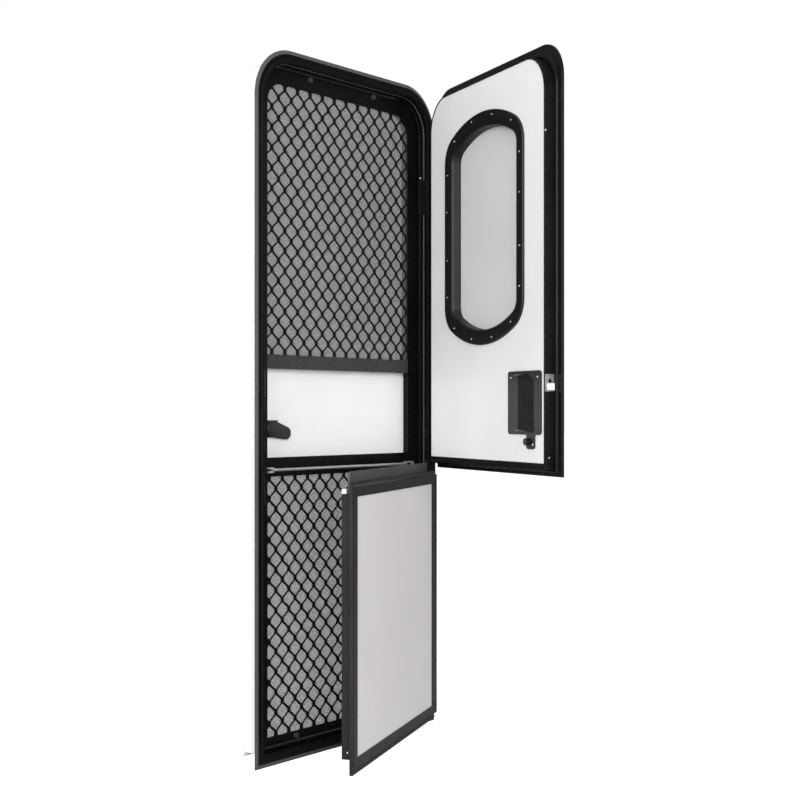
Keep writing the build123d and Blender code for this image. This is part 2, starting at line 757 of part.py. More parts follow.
for middle in (lowest_hinge, (lowest_hinge + highest_hinge) / 2, highest_hinge):
    low = middle - screen_hinge_length / 2
    high = middle + screen_hinge_length / 2
    frame_leaf = block(screen_axis_x, half_frame - back_reach, back_y, back_y + screen_leaf, low, high)
    frame_leaf += block(screen_axis_x, screen_axis_x + screen_knuckle, back_y, screen_axis_y, low, middle)
    frame_leaf += screen_barrel(screen_knuckle, low, middle) + screen_barrel(screen_pin, middle, high)
    frame_leaves.append(frame_leaf)
    foot = middle + knuckle_gap
    arm = make_face(Polyline(
        (half_screen - screen_knuckle, screen_back, foot),
        (half_screen, screen_back, foot),
        (screen_axis_x, screen_axis_y, foot),
        (screen_axis_x - screen_knuckle, screen_axis_y, foot),
        close=True,
    ))
    door_leaf = block(body_half, half_screen, screen_back, screen_back + screen_leaf, low, high)
    door_leaf += extrude(arm, amount=high - foot, dir=(0, 0, 1)) + screen_barrel(screen_knuckle, foot, high)
    door_leaves.append(door_leaf - screen_barrel(screen_pin + pin_clearance, foot, high))
save("screen_hinge_frame_leaves", *frame_leaves)
save("screen_hinge_door_leaves", *door_leaves)
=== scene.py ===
import json
import math

import bmesh
import bpy
from mathutils import Matrix, Vector


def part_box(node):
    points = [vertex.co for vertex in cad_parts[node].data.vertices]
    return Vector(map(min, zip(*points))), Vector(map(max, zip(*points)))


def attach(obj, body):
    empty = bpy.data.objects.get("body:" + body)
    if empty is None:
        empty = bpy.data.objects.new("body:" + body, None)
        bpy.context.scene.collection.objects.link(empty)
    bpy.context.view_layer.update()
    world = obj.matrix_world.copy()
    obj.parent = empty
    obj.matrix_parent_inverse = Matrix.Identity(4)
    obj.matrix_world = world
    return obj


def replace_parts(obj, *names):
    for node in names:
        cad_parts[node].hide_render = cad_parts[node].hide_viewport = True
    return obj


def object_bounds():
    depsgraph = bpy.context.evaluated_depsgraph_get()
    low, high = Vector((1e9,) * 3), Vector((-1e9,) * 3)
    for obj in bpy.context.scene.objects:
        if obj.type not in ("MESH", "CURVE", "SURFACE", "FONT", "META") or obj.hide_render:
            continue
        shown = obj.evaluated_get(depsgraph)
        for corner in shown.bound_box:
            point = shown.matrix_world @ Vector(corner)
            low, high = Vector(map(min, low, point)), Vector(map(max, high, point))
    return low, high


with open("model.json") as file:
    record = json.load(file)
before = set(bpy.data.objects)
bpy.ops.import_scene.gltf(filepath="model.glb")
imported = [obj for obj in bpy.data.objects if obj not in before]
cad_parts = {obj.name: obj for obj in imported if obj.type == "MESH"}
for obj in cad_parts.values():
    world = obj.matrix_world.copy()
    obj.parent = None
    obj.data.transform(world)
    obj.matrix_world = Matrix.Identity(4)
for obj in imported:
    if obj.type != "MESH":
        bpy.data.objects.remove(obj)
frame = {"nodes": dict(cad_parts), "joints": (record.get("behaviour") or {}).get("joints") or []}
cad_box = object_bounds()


# Frame: an aluminium extrusion bent into a hoop and mitred to a straight sill, with a flange
# that laps the wall. It is powder coated satin black, with its edges and the flange's bevelled rim
# painted paler as a painted highlight; the part inside the wall is left bare.
frame_tints = ((0.0025, 0.0024, 0.0026), (0.0038, 0.0036, 0.0039))
# The edge tint is a painted highlight: coated edges are painted paler.
frame_edge_highlight = (0.02, 0.02, 0.021)
frame_gloss = (0.2, 0.28)
# Pale tint of the bare part in the wall, also blended thinly onto the flange's rim as a painted highlight.
bare_and_rim_highlight_tint = (0.88, 0.88, 0.885)
bare_metal = 0.1
coat_specular = 0.11
coat_grain_scale = 1500.0
coat_grain_height = 0.000006
coat_cloud_scale = 7.0
coat_gloss_scale = 45.0
coat_edge = 0.0012
edge_samples = 4
edge_range = (0.8, 0.995)
noise_range = (0.35, 0.65)
frame_corner = 0.118
flange_width = 0.030
half_wall = 0.0012
wall_skin_depth = 0.0006
rim_width = 0.009
# The flange's bevelled rim is painted paler by this share of the pale tint: a painted highlight.
rim_highlight_share = 0.085
frame_low, frame_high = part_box("frame_hoop")


def step(tree, kind, **inputs):
    """Adds a node and sets or links its inputs by name."""
    node = tree.nodes.new(kind)
    for label, value in inputs.items():
        socket = node.inputs[label.replace("_", " ")]
        if isinstance(value, bpy.types.NodeSocket):
            tree.links.new(value, socket)
        else:
            socket.default_value = value
    return node


def reckon(tree, operation, *terms):
    """The result of one step of arithmetic on numbers or sockets."""
    node = tree.nodes.new("ShaderNodeMath")
    node.operation = operation
    for socket, term in zip(node.inputs, terms):
        if isinstance(term, bpy.types.NodeSocket):
            tree.links.new(term, socket)
        else:
            socket.default_value = term
    return node.outputs[0]


def new_finish(name):
    """A new material, its tree, its shader and the place of a point on the piece."""
    material = bpy.data.materials.new(name)
    material.use_nodes = True
    tree = material.node_tree
    place = step(tree, "ShaderNodeTexCoord").outputs["Object"]
    return material, tree, tree.nodes["Principled BSDF"], place


def speckle(tree, place, scale, detail=2.0):
    """Soft random specks of a given fineness."""
    return step(tree, "ShaderNodeTexNoise", Vector=place, Scale=scale, Detail=detail).outputs["Fac"]


def tint_between(tree, value, first, second, limits=noise_range):
    """A colour that goes from the first tint to the second as a value rises."""
    ramp = step(tree, "ShaderNodeValToRGB", Fac=value)
    for stop, position, tint in zip(ramp.color_ramp.elements, limits, (first, second)):
        stop.position = position
        stop.color = (*tint, 1)
    return ramp.outputs["Color"]


def number_between(tree, value, first, second, limits=noise_range):
    """A number that goes from the first to the second as a value rises."""
    span = step(tree, "ShaderNodeMapRange", Value=value)
    for label, amount in zip(("From Min", "From Max", "To Min", "To Max"), (*limits, first, second)):
        span.inputs[label].default_value = amount
    return span.outputs["Result"]


def blend_tints(tree, share, first, second):
    """Two colours mixed by a share."""
    mix = step(tree, "ShaderNodeMix")
    mix.data_type = "RGBA"
    mix.blend_type = "MIX"
    for label, value in (("Factor_Float", share), ("A_Color", first), ("B_Color", second)):
        socket = next(item for item in mix.inputs if item.identifier == label)
        if isinstance(value, bpy.types.NodeSocket):
            tree.links.new(value, socket)
        else:
            socket.default_value = (*value, 1)
    return next(item for item in mix.outputs if item.identifier == "Result_Color")


def set_bump(tree, shader, height, depth, normal=None):
    """Raises the surface by a pattern."""
    bump = step(tree, "ShaderNodeBump", Height=height, Distance=depth, Strength=1.0)
    if normal is not None:
        tree.links.new(normal, bump.inputs["Normal"])
    tree.links.new(bump.outputs["Normal"], shader.inputs["Normal"])


def powder_coat(name, tints, edge_highlight, gloss, masked=None):
    """Satin powder coat: cloudy colour, fine grain, edges painted paler as a painted highlight, and bare metal
    as far as masked (a thin share of it is a painted highlight).
    """
    material, tree, shader, place = new_finish(name)
    rounded = step(tree, "ShaderNodeBevel", Radius=coat_edge)
    rounded.samples = edge_samples
    flat = step(tree, "ShaderNodeNewGeometry").outputs["Normal"]
    likeness = step(tree, "ShaderNodeVectorMath")
    likeness.operation = "DOT_PRODUCT"
    tree.links.new(rounded.outputs["Normal"], likeness.inputs[0])
    tree.links.new(flat, likeness.inputs[1])
    flatness = number_between(tree, likeness.outputs["Value"], 0.0, 1.0, edge_range)
    cloud = tint_between(tree, speckle(tree, place, coat_cloud_scale), *tints)
    # Edges are painted in the paler edge tint: a painted highlight.
    colour = blend_tints(tree, flatness, edge_highlight, cloud)
    if masked is not None:
        bare = masked(tree, place)
        # The mask's pale share is bare metal in the wall and a painted highlight on the flange's rim.
        colour = blend_tints(tree, bare, colour, bare_and_rim_highlight_tint)
        tree.links.new(reckon(tree, "MULTIPLY", bare, bare_metal), shader.inputs["Metallic"])
    tree.links.new(colour, shader.inputs["Base Color"])
    roughness = number_between(tree, speckle(tree, place, coat_gloss_scale), *gloss)
    tree.links.new(roughness, shader.inputs["Roughness"])
    shader.inputs["Specular IOR Level"].default_value = coat_specular
    grain = speckle(tree, place, coat_grain_scale)
    set_bump(tree, shader, grain, coat_grain_height, rounded.outputs["Normal"])
    return material


def inside_wall_and_lit_rim(tree, place):
    """1 on the faces that stand in the wall's cut-out, a little on the flange's rim as a painted highlight, 0 on
    the reveal.
    """
    x, y, z = step(tree, "ShaderNodeSeparateXYZ", Vector=place).outputs
    corner = frame_corner - flange_width
    side = reckon(tree, "SUBTRACT", reckon(tree, "ABSOLUTE", x), frame_high.x - frame_corner)
    rise = reckon(tree, "SUBTRACT", z, frame_high.z - frame_corner)
    side = reckon(tree, "MAXIMUM", side, 0.0)
    rise = reckon(tree, "MAXIMUM", rise, 0.0)
    reach = reckon(tree, "ADD", reckon(tree, "MULTIPLY", side, side), reckon(tree, "MULTIPLY", rise, rise))
    beyond = reckon(tree, "SUBTRACT", reckon(tree, "SQRT", reach), corner)
    below = reckon(tree, "SUBTRACT", frame_low.z + flange_width, z)
    beyond = reckon(tree, "MAXIMUM", beyond, below)
    outside = reckon(tree, "GREATER_THAN", beyond, half_wall)
    behind = reckon(tree, "GREATER_THAN", y, wall_skin_depth)
    rim = reckon(tree, "GREATER_THAN", beyond, flange_width - rim_width)
    # The flange's outer rim gets a small share of the pale tint: a painted highlight.
    lit_rim = reckon(tree, "MULTIPLY", rim, rim_highlight_share)
    return reckon(tree, "MAXIMUM", lit_rim, reckon(tree, "MULTIPLY", outside, behind))


def dress(material, *nodes):
    """Gives CAD nodes a finish."""
    for node in nodes:
        slots = frame["nodes"][node].data.materials
        slots.clear()
        slots.append(material)


frame_coat = powder_coat("frame_coat", frame_tints, frame_edge_highlight, frame_gloss, inside_wall_and_lit_rim)
dress(frame_coat, "frame_hoop", "frame_sill")


# Frame seal: a soft black rubber bead pressed onto the inner half of the flange, where the leaves
# close on it. A second, slimmer bead of coated metal stiffens the reveal behind it; its coat is
# painted a lighter grey as a painted highlight line.
seal_tints = ((0.0025, 0.0025, 0.0025), (0.005, 0.005, 0.005))
seal_gloss = (0.5, 0.7)
seal_width = 0.0095
seal_height = 0.0048
seal_inset = 0.0245
seal_foot_corner = 0.008
seal_end = 0.298
# The rib's lighter coat is a painted highlight line.
rib_highlight_tints = ((0.06, 0.058, 0.06), (0.075, 0.073, 0.075))
rib_gloss = (0.25, 0.32)
rib_depth = 0.010
rib_width = 0.003
corner_steps = 12
bead_sides = 12
sharp_turn = 40.0
rubber_grain_scale = 700.0
rubber_grain_height = 0.00002
rubber_specular = 0.08


def soft_rubber(name, tints, gloss):
    """Dull rubber with a fine skin."""
    material, tree, shader, place = new_finish(name)
    skin = speckle(tree, place, rubber_grain_scale)
    colour = tint_between(tree, speckle(tree, place, coat_gloss_scale), *tints)
    tree.links.new(colour, shader.inputs["Base Color"])
    tree.links.new(number_between(tree, skin, *gloss), shader.inputs["Roughness"])
    shader.inputs["Specular IOR Level"].default_value = rubber_specular
    set_bump(tree, shader, skin, rubber_grain_height)
    return material


def start_rule(name, *sizes):
    """A Geometry Nodes tree that takes a base mesh, named sizes and a finish."""
    rule = bpy.data.node_groups.new(name, "GeometryNodeTree")
    rule.interface.new_socket("Base", in_out="INPUT", socket_type="NodeSocketGeometry")
    for size in sizes:
        rule.interface.new_socket(size, in_out="INPUT", socket_type="NodeSocketFloat")
    rule.interface.new_socket("Finish", in_out="INPUT", socket_type="NodeSocketMaterial")
    rule.interface.new_socket("Made", in_out="OUTPUT", socket_type="NodeSocketGeometry")
    return rule, rule.nodes.new("NodeGroupInput").outputs


def end_rule(rule, given, shape):
    """Ends a tree with real geometry in its finish."""
    real = step(rule, "GeometryNodeRealizeInstances", Geometry=shape)
    done = step(rule, "GeometryNodeSetMaterial", Geometry=real.outputs[0], Material=given["Finish"])
    step(rule, "NodeGroupOutput", Made=done.outputs[0])


def bar_along(rule, line, sides, width, height, capped=True):
    """A rounded bar of a given width and height along a line."""
    ring = step(rule, "GeometryNodeCurvePrimitiveCircle", Resolution=sides, Radius=0.5)
    size = step(rule, "ShaderNodeCombineXYZ", X=width, Y=height, Z=1.0)
    oval = step(rule, "GeometryNodeTransform", Geometry=ring.outputs[0], Scale=size.outputs[0])
    bar = step(rule, "GeometryNodeCurveToMesh", Curve=line, Profile_Curve=oval.outputs[0], Fill_Caps=capped)
    return bar.outputs[0]


def add_piece(name, mesh, body):
    """Puts a finished mesh in the scene on its body."""
    mesh.shade_smooth()
    mesh.set_sharp_from_angle(angle=math.radians(sharp_turn))
    piece = bpy.data.objects.new(name, mesh)
    bpy.context.scene.collection.objects.link(piece)
    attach(piece, body)
    return piece


def grow(name, rule, base, body, slot, place=Matrix.Identity(4), **sizes):
    """Runs a tree on a base mesh and leaves the result as a plain mesh on a body."""
    maker = bpy.data.objects.new(name + "_maker", base)
    bpy.context.scene.collection.objects.link(maker)
    modifier = maker.modifiers.new(name, "NODES")
    modifier.node_group = rule
    for item in rule.interface.items_tree:
        label = item.name.replace(" ", "_")
        if item.in_out == "INPUT" and label in sizes:
            modifier[item.identifier] = sizes[label]
    graph = bpy.context.evaluated_depsgraph_get()
    mesh = bpy.data.meshes.new_from_object(maker.evaluated_get(graph))
    maker.modifiers.remove(modifier)
    bpy.data.objects.remove(maker)
    mesh.name = name
    mesh.transform(place)
    return add_piece(name, mesh, body)


def arc_points(centre, radius, start, end, steps):
    """Points round part of a circle in X and Z, both ends included."""
    angles = [start + (end - start) * index / steps for index in range(steps + 1)]
    x, z = centre
    return [(x + radius * math.cos(angle), z + radius * math.sin(angle)) for angle in angles]


def arch_points(half, low, high, corner):
    """Points up one leg, over a top with round corners and down the other, in X and Z."""
    left = arc_points((corner - half, high - corner), corner, math.pi, math.pi / 2, corner_steps)
    right = arc_points((half - corner, high - corner), corner, math.pi / 2, 0.0, corner_steps)
    return [(-half, low), *left, *right, (half, low)]


def path_mesh(name, points):
    """A line of edges through points."""
    mesh = bpy.data.meshes.new(name)
    mesh.from_pydata(points, [(index, index + 1) for index in range(len(points) - 1)], [])
    return mesh


bead_rule, given = start_rule("pressed_bead", "Bead Width", "Bead Height")
bead_line = step(bead_rule, "GeometryNodeMeshToCurve", Mesh=given["Base"]).outputs[0]
bead = bar_along(bead_rule, bead_line, bead_sides, given["Bead Width"], given["Bead Height"])
end_rule(bead_rule, given, bead)
seal_rubber = soft_rubber("seal_rubber", seal_tints, seal_gloss)
strip_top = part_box("frame_hinge_strip")[1].z
seal_half = frame_high.x - seal_inset
seal_foot = frame_low.z + seal_inset
seal_arch = arch_points(seal_half, strip_top, frame_high.z - seal_inset, frame_corner - seal_inset)
seal_turn = arc_points(
    (seal_foot_corner - seal_half, seal_foot + seal_foot_corner), seal_foot_corner,
    math.pi, 1.5 * math.pi, corner_steps,
)
seal_path = [*reversed(seal_arch[1:]), *seal_turn, (seal_end, seal_foot)]
grow(
    "frame_seal", bead_rule, path_mesh("frame_seal_line", [(x, frame_low.y, z) for x, z in seal_path]),
    "frame", "flap_rubber", Bead_Width=seal_width, Bead_Height=seal_height, Finish=seal_rubber,
)
rib_path = arch_points(
    frame_high.x - flange_width, frame_low.z + flange_width,
    frame_high.z - flange_width, frame_corner - flange_width,
)
grow(
    "reveal_rib", bead_rule, path_mesh("reveal_rib_line", [(x, rib_depth, z) for x, z in rib_path]),
    "frame", "frame_black", Bead_Width=rib_width, Bead_Height=rib_width,
    Finish=powder_coat("rib_coat", rib_highlight_tints, rib_highlight_tints[1], rib_gloss),
)


# Leaf and screen hinges: extruded strips and short barrels, coated like the frame and turned on
# steel pins. Black cross-head screws hold the strips at even steps.
hinge_tints = ((0.0035, 0.0035, 0.004), (0.006, 0.006, 0.0065))
hinge_coat = powder_coat("hinge_coat", hinge_tints, frame_edge_highlight, frame_gloss)
dress(hinge_coat, "frame_hinge_strip", "upper_hinge_strip", "lower_hinge_strip", "jamb_plate")
dress(hinge_coat, "screen_hinge_frame_leaves", "screen_hinge_door_leaves")
black_tints = ((0.010, 0.010, 0.011), (0.018, 0.018, 0.019))
steel_tints = ((0.58, 0.58, 0.59), (0.78, 0.78, 0.79))
steel_gloss = (0.2, 0.34)
steel_brush = (60.0, 60.0, 900.0)
steel_brush_detail = 3.0
screw_radius = 0.0034
screw_dome = 0.0013
screw_bite = (1.05, 0.24, 0.9)
screw_twist = 2.4
screw_segments = 14
screw_rings = 8
hinge_screw_step = 0.118
hinge_screw_margin = 0.022
jamb_rivet = (0.2998, 0.0215, 1.390)
jamb_screw_inset = 0.013
jamb_screw_size = (0.0026, 0.0011)
joint_of = {joint["name"]: joint for joint in frame["joints"]}


def bright_metal(name, tints, gloss, masked=None):
    """Bright brushed metal with a streaked gloss, black plastic where masked."""
    material, tree, shader, place = new_finish(name)
    streaks = step(tree, "ShaderNodeMapping", Vector=place, Scale=steel_brush).outputs["Vector"]
    brushing = speckle(tree, streaks, 1.0, steel_brush_detail)
    colour = tint_between(tree, brushing, *tints)
    shader.inputs["Metallic"].default_value = 1.0
    if masked is not None:
        black = masked(tree, place)
        colour = blend_tints(tree, black, colour, black_tints[0])
        tree.links.new(reckon(tree, "SUBTRACT", 1.0, black), shader.inputs["Metallic"])
    tree.links.new(colour, shader.inputs["Base Color"])
    tree.links.new(number_between(tree, brushing, *gloss), shader.inputs["Roughness"])
    return material


def points_mesh(name, places, facing):
    """Loose points that face one way."""
    mesh = bpy.data.meshes.new(name)
    mesh.from_pydata(places, [], [])
    toward = mesh.attributes.new("facing", "FLOAT_VECTOR", "POINT")
    for point in toward.data:
        point.vector = facing
    return mesh


screw_rule, given = start_rule("cross_head_screws", "Head Radius", "Head Dome")
head_size = step(
    screw_rule, "ShaderNodeCombineXYZ", X=given["Head Radius"], Y=given["Head Radius"], Z=given["Head Dome"]
)
ball = step(screw_rule, "GeometryNodeMeshUVSphere", Segments=screw_segments, Rings=screw_rings, Radius=1.0)
recessed = step(screw_rule, "GeometryNodeMeshBoolean")
recessed.operation = "DIFFERENCE"
screw_rule.links.new(ball.outputs[0], recessed.inputs["Mesh 1"])
for turn in (0.0, math.pi / 2):
    bar = step(screw_rule, "GeometryNodeMeshCube", Size=screw_bite).outputs[0]
    slot_bar = step(
        screw_rule, "GeometryNodeTransform", Geometry=bar, Translation=(0, 0, 1), Rotation=(0, 0, turn)
    )
    screw_rule.links.new(slot_bar.outputs[0], recessed.inputs["Mesh 2"])
head = step(screw_rule, "GeometryNodeTransform", Geometry=recessed.outputs[0], Scale=head_size.outputs[0])
outward = step(screw_rule, "GeometryNodeInputNamedAttribute", Name="facing")
outward.data_type = "FLOAT_VECTOR"
upright = step(screw_rule, "FunctionNodeAlignRotationToVector", Vector=outward.outputs[0])
upright.axis = "Z"
order = step(screw_rule, "GeometryNodeInputIndex").outputs[0]
spin = reckon(screw_rule, "MULTIPLY", order, screw_twist)
twist = step(screw_rule, "FunctionNodeAxisAngleToRotation", Axis=(0, 0, 1), Angle=spin)
turned = step(
    screw_rule, "FunctionNodeRotateRotation", Rotation=upright.outputs[0], Rotate_By=twist.outputs[0]
)
turned.rotation_space = "LOCAL"
row = step(
    screw_rule, "GeometryNodeInstanceOnPoints",
    Points=given["Base"], Instance=head.outputs[0], Rotation=turned.outputs[0],
)
end_rule(screw_rule, given, row.outputs[0])
screw_steel = bright_metal("screw_steel", steel_tints, steel_gloss)
screw_black = powder_coat("screw_black", black_tints, frame_edge_highlight, frame_gloss)


def add_screws(
    name, places, facing, body, place=Matrix.Identity(4), size=(screw_radius, screw_dome), dark=False
):
    """A set of screw heads that face one way."""
    finish, slot = (screw_black, "frame_black") if dark else (screw_steel, "bright_steel")
    return grow(
        name, screw_rule, points_mesh(name, places, facing), body, slot, place,
        Head_Radius=size[0], Head_Dome=size[1], Finish=finish,
    )


def leaf_turn(joint_name):
    """The turn that carries a shut leaf to where it stands at rest."""
    joint = joint_of[joint_name]
    pin = Matrix.Translation(joint["pos_m"])
    return pin @ Matrix.Rotation(math.radians(-joint["range_deg"][0]), 4, joint["axis"]) @ pin.inverted()


def shut_box(node, turn):
    """The lowest and highest corners of a leaf's node with the leaf shut."""
    back = turn.inverted()
    points = [back @ vertex.co for vertex in frame["nodes"][node].data.vertices]
    sides = list(zip(*points))
    return Vector(map(min, sides)), Vector(map(max, sides))


def steps_between(low, high, most):
    """Even places from low to high, no further apart than most."""
    count = math.ceil((high - low) / most)
    return [low + (high - low) * index / count for index in range(count + 1)]


upper_turn = leaf_turn("upper_leaf_hinge")
lower_turn = leaf_turn("lower_leaf_hinge")
for leaf, turn in (("upper", upper_turn), ("lower", lower_turn)):
    low, high = shut_box(leaf + "_hinge_strip", turn)
    heights = steps_between(low.z + hinge_screw_margin, high.z - hinge_screw_margin, hinge_screw_step)
    screw_x = low.x + 2 * screw_radius
    hinge_screws = [(screw_x, low.y, z) for z in heights]
    add_screws(leaf + "_hinge_screws", hinge_screws, (0, -1, 0), leaf + "_leaf", turn, dark=True)
jamb_low, jamb_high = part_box("jamb_plate")
jamb_heights = (jamb_low.z + jamb_screw_inset, jamb_high.z - jamb_screw_inset)
jamb_screws = [(jamb_low.x, (jamb_low.y + jamb_high.y) / 2, z) for z in jamb_heights]
add_screws("jamb_rivets", [jamb_rivet], (-1, 0, 0), "frame", size=jamb_screw_size)
add_screws("jamb_screws", jamb_screws, (-1, 0, 0), "frame", size=jamb_screw_size, dark=True)


# Upper leaf's edge: a thicker extrusion bent over three sides and mitred to a bottom rail. It
# holds the panel under a narrow lip, and a rolled rib stiffens the back of its lapping flange.
leaf_tints = ((0.005, 0.0047, 0.005), (0.007, 0.0067, 0.007))
# The paler edge tint is a painted highlight along the leaf's and rails' edges.
leaf_edge_highlight = (0.014, 0.0135, 0.014)
leaf_gloss = (0.24, 0.32)
leaf_corner = 0.110
flange_tighter = 0.028
leaf_flange = 0.0075
leaf_wall = 0.0018
leaf_cover = 0.006
hinge_sweep = 0.020
leaf_overhang = 0.027
foot_overhang = 0.015
side_lip = 0.030
foot_lip = 0.0297
flange_round = 0.002
lip_round = 0.0007
rib_place = 0.78
rib_reach = 0.2
rib_height = 0.0045
round_steps = 8
weld_reach = 0.00001


def rounded(start, corner, end):
    """Points of a rounded corner from one edge of a section to the next."""
    start, corner, end = Vector(start), Vector(corner), Vector(end)
    centre = start + end - corner
    turns = [math.pi / 2 * index / round_steps for index in range(round_steps + 1)]
    return [tuple(centre + (start - centre) * math.cos(t) + (end - centre) * math.sin(t)) for t in turns]


def skinned(name, rows, material, wrapped=False):
    """A closed skin over each row of rings: wrapped round to its first ring, or capped at both ends."""
    points, faces = [], []
    for rings in rows:
        first = len(points)
        count = len(rings[0])
        points += [point for ring in rings for point in ring]
        for level in range(len(rings) if wrapped else len(rings) - 1):
            lower = first + level * count
            upper = first + (level + 1) % len(rings) * count
            for index in range(count):
                following = (index + 1) % count
                faces.append((lower + index, lower + following, upper + following, upper + index))
        if not wrapped:
            last = len(points) - count
            faces += [tuple(range(first, first + count)), tuple(range(last, last + count))]
    mesh = bpy.data.meshes.new(name)
    mesh.from_pydata(points, [], faces)
    shell = bmesh.new()
    shell.from_mesh(mesh)
    bmesh.ops.remove_doubles(shell, verts=shell.verts, dist=weld_reach)
    bmesh.ops.recalc_face_normals(shell, faces=shell.faces)
    shell.to_mesh(mesh)
    shell.free()
    mesh.materials.append(material)
    return mesh


def edge_line(overhang, lip):
    """The edge's section: distances in from the leaf's outline and depths, all the way round."""
    outer, inner = edge_low.y, edge_high.y
    back = outer + leaf_flange
    roll = arc_points((0.0, 0.0), 1.0, math.pi, 0.0, 2 * round_steps)
    return [
        *rounded((flange_round, outer), (0.0, outer), (0.0, outer + flange_round)),
        *rounded((0.0, back - flange_round), (0.0, back), (flange_round, back)),
        *((overhang * (rib_place + rib_reach * x), back + rib_height * z) for x, z in roll),
        (overhang, back),
        *rounded((overhang, inner - lip_round), (overhang, inner), (overhang + lip_round, inner)),
        *rounded((lip - lip_round, inner), (lip, inner), (lip, inner - lip_round)),
        (lip, inner - leaf_wall),
        (overhang + leaf_wall, inner - leaf_wall),
        (overhang + leaf_wall, outer + leaf_wall),
        (overhang + leaf_cover, outer + leaf_wall),
        (overhang + leaf_cover, outer),
    ]


leaf_coat = powder_coat("leaf_coat", leaf_tints, leaf_edge_highlight, leaf_gloss)
dress(leaf_coat, "upper_edge_hoop", "upper_bottom_rail")
edge_low, edge_high = shut_box("upper_edge_hoop", upper_turn)
foot_level = shut_box("upper_bottom_rail", upper_turn)[0].z
edge_section = [
    (inset, rise, y)
    for (inset, y), (rise, y) in zip(edge_line(leaf_overhang, side_lip), edge_line(foot_overhang, foot_lip))
]
edge_bends = [
    leaf_corner - inset - flange_tighter * max(0.0, 1 - inset / leaf_overhang) for inset, rise, y in edge_section
]
edge_arches = [
    arch_points(-edge_low.x - inset, foot_level + rise, edge_high.z - inset, bend)
    for bend, (inset, rise, y) in zip(edge_bends, edge_section)
]
last_turn = 2 * corner_steps + 2
hinge_limits = [
    edge_high.x + hinge_sweep * max(0, last_turn - index) / corner_steps for index in range(last_turn + 2)
]
bent_rings = [
    [(min(x, limit), y, z) for (x, z), (inset, rise, y) in zip(places, edge_section)]
    for limit, places in zip(hinge_limits, zip(*edge_arches))
]
for name, rings, node in (
    ("bent_edge", bent_rings, "upper_edge_hoop"),
    ("mitred_rail", [bent_rings[0], bent_rings[-1]], "upper_bottom_rail"),
):
    mesh = skinned(name, [rings], leaf_coat)
    mesh.transform(upper_turn)
    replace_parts(add_piece(name, mesh, "upper_leaf"), node)


# Panels: two smooth sheets on a foam core, slipped into the edge's channel. The inner sheet is
# white; the outer one is painted darker, a warm pale grey, as painted shade, and both have a
# faint orange peel.
inner_tints = ((0.80, 0.80, 0.81), (0.84, 0.84, 0.845))
# The outer sheet is painted darker than the inner white: painted shade.
outer_shaded_tints = ((0.73, 0.70, 0.72), (0.76, 0.73, 0.75))
sheet_gloss = (0.3, 0.4)
sheet_peel_scale = 260.0
sheet_peel_height = 0.00003
sheet_cloud_scale = 5.0
foam_tints = ((0.72, 0.69, 0.6), (0.8, 0.78, 0.7))
foam_gloss = (0.75, 0.95)
foam_cell_scale = 900.0
foam_cell_height = 0.0003


def painted_sheet(name, tints, gloss):
    """Smooth painted sheet with a faint orange peel."""
    material, tree, shader, place = new_finish(name)
    colour = tint_between(tree, speckle(tree, place, sheet_cloud_scale), *tints)
    tree.links.new(colour, shader.inputs["Base Color"])
    peel = speckle(tree, place, sheet_peel_scale)
    tree.links.new(number_between(tree, peel, *gloss), shader.inputs["Roughness"])
    set_bump(tree, shader, peel, sheet_peel_height)
    return material


def cut_foam(name, tints, gloss):
    """Cut foam with small open cells."""
    material, tree, shader, place = new_finish(name)
    cells = step(tree, "ShaderNodeTexVoronoi", Vector=place, Scale=foam_cell_scale).outputs["Distance"]
    tree.links.new(tint_between(tree, cells, *tints), shader.inputs["Base Color"])
    tree.links.new(number_between(tree, cells, *gloss), shader.inputs["Roughness"])
    set_bump(tree, shader, cells, foam_cell_height)
    return material


inner_white = painted_sheet("inner_white", inner_tints, sheet_gloss)
dress(inner_white, "upper_inner_skin", "lower_inner_skin")
dress(painted_sheet("outer_grey", outer_shaded_tints, sheet_gloss), "upper_outer_skin", "lower_outer_skin")
dress(cut_foam("panel_foam", foam_tints, foam_gloss), "upper_core", "lower_core")


# Window: a frosted acrylic pane held between a moulded inner trim and an outer frame, both with
# crowned ends and rounded lips. Sixteen small bright screws hold the trim's flat band.
moulded_tints = ((0.003, 0.0028, 0.003), (0.0045, 0.0043, 0.0045))
moulded_gloss = (0.44, 0.52)
moulded_specular = 0.4
moulded_grain_scale = 1100.0
moulded_grain_height = 0.00001
acrylic_tints = ((0.74, 0.74, 0.755), (0.77, 0.77, 0.785))
acrylic_gloss = (0.32, 0.4)
acrylic_frost_scale = 1300.0
acrylic_frost_height = 0.00002
acrylic_clear = 0.15
acrylic_bend = 1.49
trim_screw_size = (0.0026, 0.0011)
trim_screw_inset = 0.0145
trim_half = 0.196
trim_band = 0.036
trim_slope = 0.0015
trim_wall = 0.0026
trim_lip = 0.0025
trim_roll = (0.016, 0.0075)
outer_band = 0.024
outer_lip = 0.003
outer_roll = 0.006
window_corner = 0.070
window_crown = 0.347
outline_steps = 14
side_screw_heights = (-0.151, -0.060, 0.060, 0.151)
end_screws = ((0.051, 0.2595), (0.142, 0.229))


def moulded_plastic(name, tints, gloss):
    """Black moulded plastic with a fine grain."""
    material, tree, shader, place = new_finish(name)
    grain = speckle(tree, place, moulded_grain_scale)
    colour = tint_between(tree, speckle(tree, place, coat_gloss_scale), *tints)
    tree.links.new(colour, shader.inputs["Base Color"])
    tree.links.new(number_between(tree, grain, *gloss), shader.inputs["Roughness"])
    shader.inputs["Specular IOR Level"].default_value = moulded_specular
    set_bump(tree, shader, grain, moulded_grain_height)
    return material


